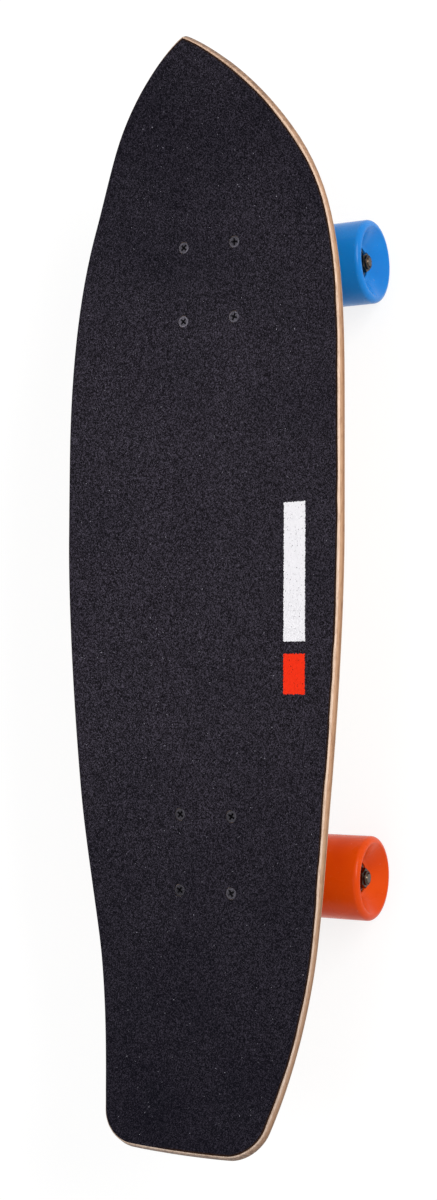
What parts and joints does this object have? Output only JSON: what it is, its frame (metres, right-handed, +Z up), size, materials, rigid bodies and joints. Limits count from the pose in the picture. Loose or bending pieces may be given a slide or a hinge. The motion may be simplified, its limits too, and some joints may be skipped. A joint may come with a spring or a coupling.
{
  "type": "cruiser skateboard",
  "caption": "Pointed-nose cruiser skateboard: a hollowed, bent-up deck with grip tape on two sprung steering trucks with dished urethane wheels.",
  "frame": {"origin": "on the floor, under the middle of the board's length and width", "axes": "+X towards the pointed nose, +Y to the left of a rider who faces the nose, +Z up"},
  "size_m": [0.7818, 0.2204, 0.1385],
  "materials": {
    "maple": "satin varnish",
    "grip_tape": "black mineral grit",
    "riser_rubber": "matt",
    "black_steel": "black oxide",
    "zinc_steel": "zinc plated",
    "cast_aluminium": "tumbled casting",
    "urethane_blue": "satin urethane",
    "urethane_orange": "satin urethane",
    "bushing_urethane": "satin urethane",
    "cup_plastic": "matt",
    "bearing_steel": "polished races and a black shield"
  },
  "bodies": {
    "deck": {"deck": "maple", "grip_tape": "grip_tape", "front_riser_pad": "riser_rubber", "front_baseplate": "cast_aluminium", "front_pivot_cup": "cup_plastic", "front_kingpin": "zinc_steel", "front_kingpin_nut": "zinc_steel", "front_board_bushing": "bushing_urethane", "front_road_bushing": "bushing_urethane", "front_board_washer": "zinc_steel", "front_road_washer": "zinc_steel", "front_deck_bolt_1": "black_steel", "front_deck_bolt_2": "black_steel", "front_deck_bolt_3": "black_steel", "front_deck_bolt_4": "black_steel", "front_lock_nut_1": "zinc_steel", "front_lock_nut_2": "zinc_steel", "front_lock_nut_3": "zinc_steel", "front_lock_nut_4": "zinc_steel", "rear_riser_pad": "riser_rubber", "rear_baseplate": "cast_aluminium", "rear_pivot_cup": "cup_plastic", "rear_kingpin": "zinc_steel", "rear_kingpin_nut": "zinc_steel", "rear_board_bushing": "bushing_urethane", "rear_road_bushing": "bushing_urethane", "rear_board_washer": "zinc_steel", "rear_road_washer": "zinc_steel", "rear_deck_bolt_1": "black_steel", "rear_deck_bolt_2": "black_steel", "rear_deck_bolt_3": "black_steel", "rear_deck_bolt_4": "black_steel", "rear_lock_nut_1": "zinc_steel", "rear_lock_nut_2": "zinc_steel", "rear_lock_nut_3": "zinc_steel", "rear_lock_nut_4": "zinc_steel"},
    "front_hanger": {"front_hanger": "cast_aluminium", "front_axle": "zinc_steel", "front_left_bearing_spacer": "zinc_steel", "front_left_axle_nut": "zinc_steel", "front_right_bearing_spacer": "zinc_steel", "front_right_axle_nut": "zinc_steel"},
    "rear_hanger": {"rear_hanger": "cast_aluminium", "rear_axle": "zinc_steel", "rear_left_bearing_spacer": "zinc_steel", "rear_left_axle_nut": "zinc_steel", "rear_right_bearing_spacer": "zinc_steel", "rear_right_axle_nut": "zinc_steel"},
    "front_left_wheel": {"front_left_wheel": "urethane_blue", "front_left_inner_bearing": "bearing_steel", "front_left_outer_bearing": "bearing_steel"},
    "front_right_wheel": {"front_right_wheel": "urethane_blue", "front_right_inner_bearing": "bearing_steel", "front_right_outer_bearing": "bearing_steel"},
    "rear_left_wheel": {"rear_left_wheel": "urethane_orange", "rear_left_inner_bearing": "bearing_steel", "rear_left_outer_bearing": "bearing_steel"},
    "rear_right_wheel": {"rear_right_wheel": "urethane_orange", "rear_right_inner_bearing": "bearing_steel", "rear_right_outer_bearing": "bearing_steel"}
  },
  "joints": [
    {"name": "front_steer", "type": "hinge", "parent": "deck", "child": "front_hanger", "pos_m": [0.20924, 0, 0.04627], "axis": [0.8884, 0, 0.4591], "range_deg": [-18, 18], "stiffness_Nm_per_rad": 70, "deforming": ["front_board_bushing", "front_road_bushing"]},
    {"name": "rear_steer", "type": "hinge", "parent": "deck", "child": "rear_hanger", "pos_m": [-0.17386, 0, 0.04627], "axis": [-0.8884, 0, 0.4591], "range_deg": [-18, 18], "stiffness_Nm_per_rad": 70, "deforming": ["rear_board_bushing", "rear_road_bushing"]},
    {"name": "front_left_roll", "type": "hinge", "parent": "front_hanger", "child": "front_left_wheel", "pos_m": [0.24069, 0.07775, 0.03024], "axis": [0, 1, 0], "continuous": true},
    {"name": "front_right_roll", "type": "hinge", "parent": "front_hanger", "child": "front_right_wheel", "pos_m": [0.24069, -0.07775, 0.03024], "axis": [0, 1, 0], "continuous": true},
    {"name": "rear_left_roll", "type": "hinge", "parent": "rear_hanger", "child": "rear_left_wheel", "pos_m": [-0.20531, 0.07775, 0.03024], "axis": [0, 1, 0], "continuous": true},
    {"name": "rear_right_roll", "type": "hinge", "parent": "rear_hanger", "child": "rear_right_wheel", "pos_m": [-0.20531, -0.07775, 0.03024], "axis": [0, 1, 0], "continuous": true}
  ]
}
